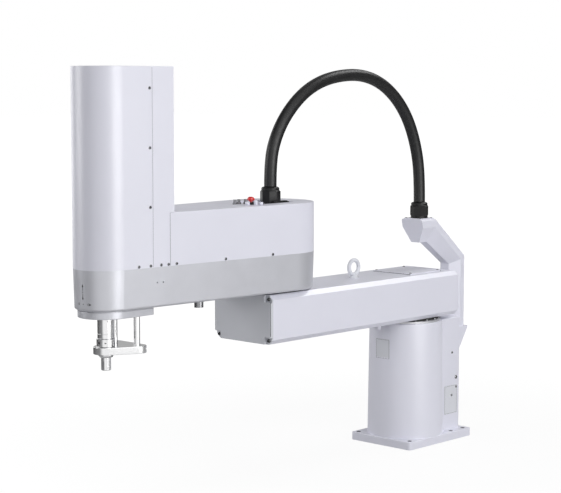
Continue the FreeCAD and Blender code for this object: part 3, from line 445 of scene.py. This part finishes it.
def block_piece(name, blocks, soft, slot, body):
    """Blocks with rounded edges, each given by its two far corners."""
    mesh = bmesh.new()
    for x0, y0, z0, x1, y1, z1 in blocks:
        verts = bmesh.ops.create_cube(mesh, size=1.0)["verts"]
        bmesh.ops.scale(mesh, verts=verts, vec=(x1 - x0, y1 - y0, z1 - z0))
        bmesh.ops.translate(mesh, verts=verts,
                            vec=((x0 + x1) / 2, (y0 + y1) / 2, (z0 + z1) / 2))
        edges = list({edge for vert in verts for edge in vert.link_edges})
        bmesh.ops.bevel(mesh, geom=edges, offset=soft, segments=3, affect="EDGES", profile=0.5)
    bmesh_piece(name, mesh, slot, body, smooth=True)


def sleeves(name, places, radius, low, high, wall, sides, slot, body):
    """Thin upright sleeves, open at both ends, one at each place."""
    mesh = bmesh.new()
    for x, y in places:
        made = bmesh.ops.create_cone(mesh, cap_ends=False, segments=sides, radius1=radius,
                                     radius2=radius, depth=high - low)
        bmesh.ops.translate(mesh, verts=made["verts"], vec=(x, y, (low + high) / 2))
    bmesh.ops.solidify(mesh, geom=mesh.faces[:], thickness=wall)
    bmesh_piece(name, mesh, slot, body)


# White guard lugs beside the brake button, on the arm's cover
block_piece("button_guards", [(0.7455, 0.0545, ARM2_TOP, 0.7550, 0.0640, ARM2_TOP + 0.0095),
                              (0.7310, 0.0720, ARM2_TOP, 0.7385, 0.0790, ARM2_TOP + 0.0135),
                              (0.7150, 0.0750, ARM2_TOP, 0.7260, 0.0840, ARM2_TOP + 0.0080)],
            0.0012, "white_paint", "arm2")

# Painted shade: a dark strip at the two ends of the joint cover on the first arm, standing in for
# the shadow line under the cover's edge
SHADE_LINE_OUT, SHADE_LINE_LOW, SHADE_LINE_HIGH = 0.0002, 0.0001, 0.0013
low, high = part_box("joint1_cover")
verts = []
for x in (low[0] - SHADE_LINE_OUT, high[0] + SHADE_LINE_OUT):
    verts += [(x, low[1], low[2] + SHADE_LINE_LOW), (x, high[1], low[2] + SHADE_LINE_LOW),
              (x, high[1], low[2] + SHADE_LINE_HIGH), (x, low[1], low[2] + SHADE_LINE_HIGH)]
cover_shade_strip = mesh_object("cover_shade_line", verts, [(3, 2, 1, 0), (4, 5, 6, 7)], "seal_rubber")
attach(cover_shade_strip, "arm1")

# Painted shade: a black ring round the second joint that darkens the gap between the two arms,
# where shade falls
sleeves("joint2_gap_shade", [(ARM, 0)], radius=0.0932, low=0.5203, high=0.5258, wall=0.0012, sides=96,
        slot="seal_rubber", body="arm1")

# Painted shade: dark sleeves inside the base's bolt holes, standing in for the shade on their walls
sleeves("bolt_hole_shade", [(x, y) for x in (0.102, -0.100, -0.160) for y in (0.100, -0.100)],
        radius=0.0069, low=0.001, high=0.0237, wall=0.0002, sides=32, slot="black_steel",
        body="base")


# Camera at the photograph's place

CAMERA_PLACE = (3.82793, 3.08814, 1.08406)
PITCH = math.radians(5.69)
YAW = math.radians(43.37)

camera_data = bpy.data.cameras.new("camera")
camera_data.sensor_fit = "HORIZONTAL"
camera_data.sensor_width = 36.0
camera_data.lens = 103.73
camera = linked("camera", camera_data)
forward = Vector((-math.cos(YAW) * math.cos(PITCH), -math.sin(YAW) * math.cos(PITCH),
                  -math.sin(PITCH)))
right = Vector((-math.sin(YAW), math.cos(YAW), 0.0))
up = right.cross(forward)
turn = Matrix((right, up, -forward)).transposed()
camera.matrix_world = Matrix.Translation(CAMERA_PLACE) @ turn.to_4x4()
bpy.context.scene.camera = camera


# Light: soft lamps from the right, above, behind and the left, and a pale world

KEY, STRIP, SIDE, RIM, FILL = 42, 71, 44, 62, 41
AMBIENT, MIRROR, GLOW = 0.36, 1.1, 1.06
WHITE = (1, 1, 1, 1)


def lamp(name, place, target, wide, tall, power):
    data = bpy.data.lights.new(name, "AREA")
    data.shape = "RECTANGLE"
    data.size = wide
    data.size_y = tall
    data.energy = power
    made = linked(name, data)
    made.location = place
    aim = Vector(target) - Vector(place)
    made.rotation_euler = aim.to_track_quat("-Z", "Y").to_euler()
    made.visible_camera = False


lamp("key_lamp", (2.2, 4.2, 3.7), (0.3, 0, 0.4), 2.2, 2.2, KEY)
lamp("strip_lamp", (0.5, 3.6, 1.25), (0.5, 0, 0.6), 2.5, 2.5, STRIP)
lamp("side_lamp", (0.6, -4.8, 1.6), (0.7, 0, 0.7), 2.4, 3.0, SIDE)
lamp("rim_lamp", (-2.6, 0.5, 3.9), (0.6, 0, 0.6), 2.0, 2.0, RIM)
lamp("fill_lamp", (3.4, -2.4, 1.6), (0.8, 0, 0.7), 1.6, 2.2, FILL)


def own_light(tree_nodes, kind, strength, colour=WHITE):
    """A background or an emission."""
    made = tree_nodes.new(kind)
    made.inputs["Color"].default_value = colour
    made.inputs["Strength"].default_value = strength
    return made


def mix(tree_nodes, links, share, below, above):
    """A shader that goes from one to the other as the share grows."""
    made = tree_nodes.new("ShaderNodeMixShader")
    links.new(share, made.inputs["Fac"])
    links.new(below, made.inputs[1])
    links.new(above, made.inputs[2])
    return made.outputs["Shader"]


def cards(tree_nodes, links, vector):
    """What polished metal mirrors: white cards in front and behind, dark flags at both sides."""
    flat = tree_nodes.new("ShaderNodeVectorMath")
    flat.operation = "MULTIPLY"
    flat.inputs[1].default_value = (1, 1, 0)
    links.new(vector, flat.inputs[0])
    unit = tree_nodes.new("ShaderNodeVectorMath")
    unit.operation = "NORMALIZE"
    links.new(flat.outputs["Vector"], unit.inputs[0])
    front = math.radians(56)
    facing = tree_nodes.new("ShaderNodeVectorMath")
    facing.operation = "DOT_PRODUCT"
    facing.inputs[1].default_value = (math.cos(front), math.sin(front), 0)
    links.new(unit.outputs["Vector"], facing.inputs[0])
    share = spread(tree_nodes, links, facing.outputs["Value"], -1.0, 1.0, 0.0, 1.0)
    stops = [(0.02, (0.42, 0.42, 0.42)), (0.07, (0.03, 0.03, 0.031)), (0.22, (0.05, 0.05, 0.052)),
             (0.45, (0.13, 0.13, 0.133)), (0.76, (0.25, 0.25, 0.255)), (0.87, (1, 1, 1))]
    return ramp(tree_nodes, links, share, stops)


# World: white to the camera, the cards to a mirroring surface, a pale ambient to all else
world = bpy.data.worlds.new("world")
bpy.context.scene.world = world
world.use_nodes = True
tree_nodes, links = world.node_tree.nodes, world.node_tree.links
tree_nodes.clear()
output = tree_nodes.new("ShaderNodeOutputWorld")
seen = own_light(tree_nodes, "ShaderNodeBackground", 1.0)
ambient = own_light(tree_nodes, "ShaderNodeBackground", AMBIENT, (0.96, 0.97, 1.0, 1))
mirrored = own_light(tree_nodes, "ShaderNodeBackground", MIRROR)
direction = tree_nodes.new("ShaderNodeTexCoord")
links.new(cards(tree_nodes, links, direction.outputs["Generated"]), mirrored.inputs["Color"])
path = tree_nodes.new("ShaderNodeLightPath")
lit = mix(tree_nodes, links, path.outputs["Is Glossy Ray"], ambient.outputs["Background"],
          mirrored.outputs["Background"])
whole = mix(tree_nodes, links, path.outputs["Is Camera Ray"], lit, seen.outputs["Background"])
links.new(whole, output.inputs["Surface"])

# Floor: white where the camera sees it, with the robot's soft shadow kept; far off it mirrors as
# the cards
FLOOR = 40.0
NEAR_SEEN, FAR_SEEN, LEAST_SEEN = 0.6, 2.6, 0.87
NEAR_MIRRORED, FAR_MIRRORED = 1.5, 3.0


def flat_sheet(name, x0, y0, x1, y1, z, material):
    data = bpy.data.meshes.new(name)
    data.from_pydata([(x0, y0, z), (x1, y0, z), (x1, y1, z), (x0, y1, z)], [], [(0, 1, 2, 3)])
    data.materials.append(material)
    return linked(name, data)


floor_material, tree_nodes, links, shader = new_material("floor")
shader.inputs["Base Color"].default_value = (0.5, 0.5, 0.5, 1)
shader.inputs["Roughness"].default_value = 0.9
shader.inputs["Specular IOR Level"].default_value = 0.0
where = tree_nodes.new("ShaderNodeTexCoord")
away = tree_nodes.new("ShaderNodeVectorMath")
away.operation = "LENGTH"
links.new(where.outputs["Object"], away.inputs[0])
path = tree_nodes.new("ShaderNodeLightPath")


def floor_share(near, far, low, ray):
    """How much of the floor's light is its own for one kind of ray, growing with distance."""
    weight = tree_nodes.new("ShaderNodeMath")
    weight.operation = "MULTIPLY"
    links.new(spread(tree_nodes, links, away.outputs["Value"], near, far, low, 1.0),
              weight.inputs[0])
    links.new(ray, weight.inputs[1])
    return weight.outputs["Value"]


glow = own_light(tree_nodes, "ShaderNodeEmission", GLOW)
card_glow = own_light(tree_nodes, "ShaderNodeEmission", MIRROR)
links.new(cards(tree_nodes, links, where.outputs["Object"]), card_glow.inputs["Color"])
mirror_share = floor_share(NEAR_MIRRORED, FAR_MIRRORED, 0.0, path.outputs["Is Glossy Ray"])
lit = mix(tree_nodes, links, mirror_share, shader.outputs["BSDF"], card_glow.outputs["Emission"])
seen_share = floor_share(NEAR_SEEN, FAR_SEEN, LEAST_SEEN, path.outputs["Is Camera Ray"])
whole = mix(tree_nodes, links, seen_share, lit, glow.outputs["Emission"])
links.new(whole, tree_nodes["Material Output"].inputs["Surface"])
floor = flat_sheet("floor", -FLOOR, -FLOOR, FLOOR, FLOOR, -0.0005, floor_material)

# Painted shade: a dark patch beneath the base, so that its bolt holes end in shade
under_material, tree_nodes, links, shader = new_material("under")
shader.inputs["Base Color"].default_value = (0.05, 0.05, 0.05, 1)
shader.inputs["Roughness"].default_value = 0.9
under = flat_sheet("under", -0.178, -0.112, 0.115, 0.112, -0.0003, under_material)

bpy.context.scene.view_settings.view_transform = "Standard"
